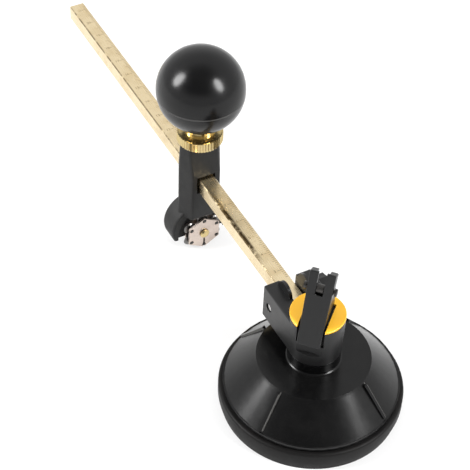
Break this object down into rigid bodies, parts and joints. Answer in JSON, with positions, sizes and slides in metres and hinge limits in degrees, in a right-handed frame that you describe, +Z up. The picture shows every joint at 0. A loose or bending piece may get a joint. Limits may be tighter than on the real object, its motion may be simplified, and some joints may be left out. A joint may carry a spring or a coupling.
{
  "type": "circle glass cutter",
  "caption": "Circle glass cutter: a suction foot with a swivelling tower and cam lever holds a square brass beam, along which a ball-handled slider carries a six-wheel turret.",
  "frame": {"origin": "middle of the rubber cup's flat underside, on the glass", "axes": "+X along the beam from the tower to its free end, +Z up away from the glass, +Y across the beam"},
  "size_m": [0.2501, 0.07, 0.0988],
  "materials": {
    "rubber": "satin black rubber",
    "shell": "glossy black moulding",
    "satin": "satin black moulding",
    "ball": "polished black plastic",
    "yellow": "yellow plastic",
    "beam_brass": "drawn pale brass",
    "nut_brass": "turned brass",
    "steel": "plain steel",
    "dark_steel": "blackened steel",
    "plated": "plated steel",
    "carbide": "ground hard metal"
  },
  "bodies": {
    "base": {"suction_cup": "rubber", "base_housing": "shell", "cup_spring": "steel", "retaining_ring": "steel"},
    "swivel": {"swivel_tower": "satin", "top_cap": "yellow"},
    "plunger": {"pull_rod": "dark_steel"},
    "lever": {"cam_lever": "satin", "lever_pin": "dark_steel"},
    "arm": {"graduated_bar": "beam_brass"},
    "pivot": {"pivot_screw": "steel", "pivot_knob": "satin"},
    "slider": {"slider_body": "satin", "clamp_shoe": "nut_brass", "handle_stud": "steel", "turret_screw": "nut_brass", "turret_nut": "steel"},
    "lock_nut": {"knurled_nut": "nut_brass"},
    "ball": {"ball_handle": "ball", "ball_insert": "nut_brass"},
    "turret": {"turret_front_plate": "plated", "turret_core": "plated", "turret_rear_plate": "plated", "wheel_axle_1": "steel", "wheel_axle_2": "steel", "wheel_axle_3": "steel", "wheel_axle_4": "steel", "wheel_axle_5": "steel", "wheel_axle_6": "steel"},
    "cutting_wheel_1": {"wheel_1": "carbide"},
    "cutting_wheel_2": {"wheel_2": "carbide"},
    "cutting_wheel_3": {"wheel_3": "carbide"},
    "cutting_wheel_4": {"wheel_4": "carbide"},
    "cutting_wheel_5": {"wheel_5": "carbide"},
    "cutting_wheel_6": {"wheel_6": "carbide"}
  },
  "joints": [
    {"name": "tower_swivel", "type": "hinge", "parent": "base", "child": "swivel", "pos_m": [0, 0, 0.0296], "axis": [0, 0, 1], "continuous": true},
    {"name": "plunger_lift", "type": "slide", "parent": "swivel", "child": "plunger", "axis": [0, 0, 1], "range_m": [0, 0.00253], "deforming": ["cup_spring", "suction_cup"]},
    {"name": "lever_throw", "type": "hinge", "parent": "plunger", "child": "lever", "pos_m": [0, 0, 0.06], "axis": [0.7314, 0.682, 0], "range_deg": [0, 96]},
    {"name": "arm_tilt", "type": "hinge", "parent": "swivel", "child": "arm", "pos_m": [0.0177, 0, 0.0374], "axis": [0, -1, 0], "range_deg": [0, 25]},
    {"name": "pivot_turn", "type": "hinge", "parent": "swivel", "child": "pivot", "pos_m": [0.0177, 0, 0.0374], "axis": [0, 1, 0], "continuous": true},
    {"name": "slider_travel", "type": "slide", "parent": "arm", "child": "slider", "axis": [1, 0, 0], "range_m": [-0.045, 0.105]},
    {"name": "nut_turn", "type": "hinge", "parent": "slider", "child": "lock_nut", "pos_m": [0.0936, 0, 0.059], "axis": [0, 0, 1], "continuous": true},
    {"name": "ball_spin", "type": "hinge", "parent": "slider", "child": "ball", "pos_m": [0.0936, 0, 0.0815], "axis": [0, 0, 1], "continuous": true},
    {"name": "turret_index", "type": "hinge", "parent": "slider", "child": "turret", "pos_m": [0.0863, 0, 0.0092], "axis": [1, 0, 0], "continuous": true},
    {"name": "wheel_spin_1", "type": "hinge", "parent": "turret", "child": "cutting_wheel_1", "pos_m": [0.0901, 0, 0.0026], "axis": [1, 0, 0], "continuous": true},
    {"name": "wheel_spin_2", "type": "hinge", "parent": "turret", "child": "cutting_wheel_2", "pos_m": [0.0901, 0.00572, 0.0059], "axis": [1, 0, 0], "continuous": true},
    {"name": "wheel_spin_3", "type": "hinge", "parent": "turret", "child": "cutting_wheel_3", "pos_m": [0.0901, 0.00572, 0.0125], "axis": [1, 0, 0], "continuous": true},
    {"name": "wheel_spin_4", "type": "hinge", "parent": "turret", "child": "cutting_wheel_4", "pos_m": [0.0901, 0, 0.0158], "axis": [1, 0, 0], "continuous": true},
    {"name": "wheel_spin_5", "type": "hinge", "parent": "turret", "child": "cutting_wheel_5", "pos_m": [0.0901, -0.00572, 0.0125], "axis": [1, 0, 0], "continuous": true},
    {"name": "wheel_spin_6", "type": "hinge", "parent": "turret", "child": "cutting_wheel_6", "pos_m": [0.0901, -0.00572, 0.0059], "axis": [1, 0, 0], "continuous": true}
  ],
  "couplings": [
    {"joint": "lever_throw", "follows": "plunger_lift", "rad_per_m": 655.3}
  ]
}
